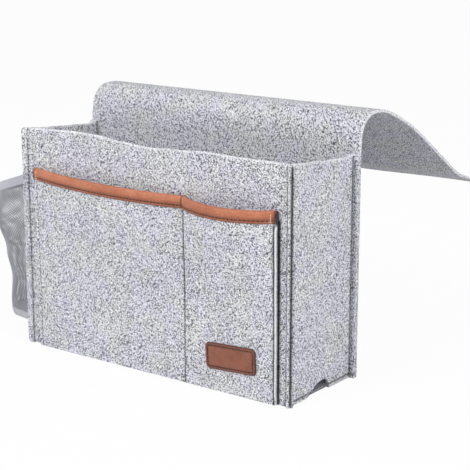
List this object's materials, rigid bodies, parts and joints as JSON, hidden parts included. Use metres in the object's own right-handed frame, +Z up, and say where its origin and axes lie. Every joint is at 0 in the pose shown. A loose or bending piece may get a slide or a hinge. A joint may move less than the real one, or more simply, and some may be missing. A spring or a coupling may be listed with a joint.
{
  "type": "bedside caddy",
  "caption": "Open felt box with bound front pockets, a net pocket on its side, a cable notch and a flap that tucks under a mattress.",
  "frame": {"origin": "middle of the base's underside, inside the four walls", "axes": "+X to the right as seen from the front, +Y towards the flap and the bed, +Z up"},
  "size_m": [0.4185, 0.3899, 0.2623],
  "materials": {
    "grey_felt": "speckled wool-like felt",
    "tan_leather": "smooth, slightly glossy",
    "brown_leather": "smooth, slightly glossy",
    "grey_thread": "twisted thread",
    "brown_thread": "twisted thread",
    "cream_thread": "twisted thread",
    "grey_net": "knitted net",
    "hem_cloth": "close-woven cloth"
  },
  "bodies": {
    "caddy_body": {"back_base_seam": "grey_thread", "back_base_seam_under": "grey_thread", "back_left_corner_seam": "grey_thread", "back_left_corner_seam_under": "grey_thread", "back_panel": "grey_felt", "back_right_corner_seam": "grey_thread", "back_right_corner_seam_under": "grey_thread", "badge": "brown_leather", "badge_stitches": "brown_thread", "base_panel": "grey_felt", "binding_stitches": "brown_thread", "front_base_seam": "grey_thread", "front_left_corner_seam": "grey_thread", "front_left_corner_seam_under": "grey_thread", "front_panel": "grey_felt", "front_pocket_panel": "grey_felt", "front_right_corner_seam": "grey_thread", "front_right_corner_seam_under": "grey_thread", "left_bar_tack": "cream_thread", "left_base_seam": "grey_thread", "left_base_seam_under": "grey_thread", "left_side_panel": "grey_felt", "middle_bar_tack": "cream_thread", "net_bottom_hem": "hem_cloth", "net_front_seam": "grey_thread", "net_pocket": "grey_net", "net_pocket_floor": "hem_cloth", "net_rear_seam": "grey_thread", "net_top_hem": "hem_cloth", "pocket_binding": "tan_leather", "pocket_divider_seam": "grey_thread", "pocket_divider_seam_under": "grey_thread", "pocket_left_seam": "grey_thread", "pocket_left_seam_under": "grey_thread", "pocket_right_seam": "grey_thread", "pocket_right_seam_under": "grey_thread", "right_bar_tack": "cream_thread", "right_base_seam_front": "grey_thread", "right_base_seam_front_under": "grey_thread", "right_base_seam_rear": "grey_thread", "right_base_seam_rear_under": "grey_thread", "right_side_panel": "grey_felt"},
    "flap_riser": {"flap_riser": "grey_felt"},
    "flap_tail": {"flap_tail": "grey_felt"},
    "flap_toe": {"flap_toe": "grey_felt"}
  },
  "joints": [
    {"name": "flap_root", "type": "hinge", "parent": "caddy_body", "child": "flap_riser", "pos_m": [0, 0.0535, 0.231], "axis": [1, 0, 0], "range_deg": [-10, 75]},
    {"name": "flap_crown", "type": "hinge", "parent": "flap_riser", "child": "flap_tail", "pos_m": [0, 0.07643, 0.26048], "axis": [1, 0, 0], "range_deg": [-35, 75]},
    {"name": "flap_toe_fold", "type": "hinge", "parent": "flap_tail", "child": "flap_toe", "pos_m": [0, 0.25342, 0.17138], "axis": [1, 0, 0], "range_deg": [-30, 40]}
  ]
}
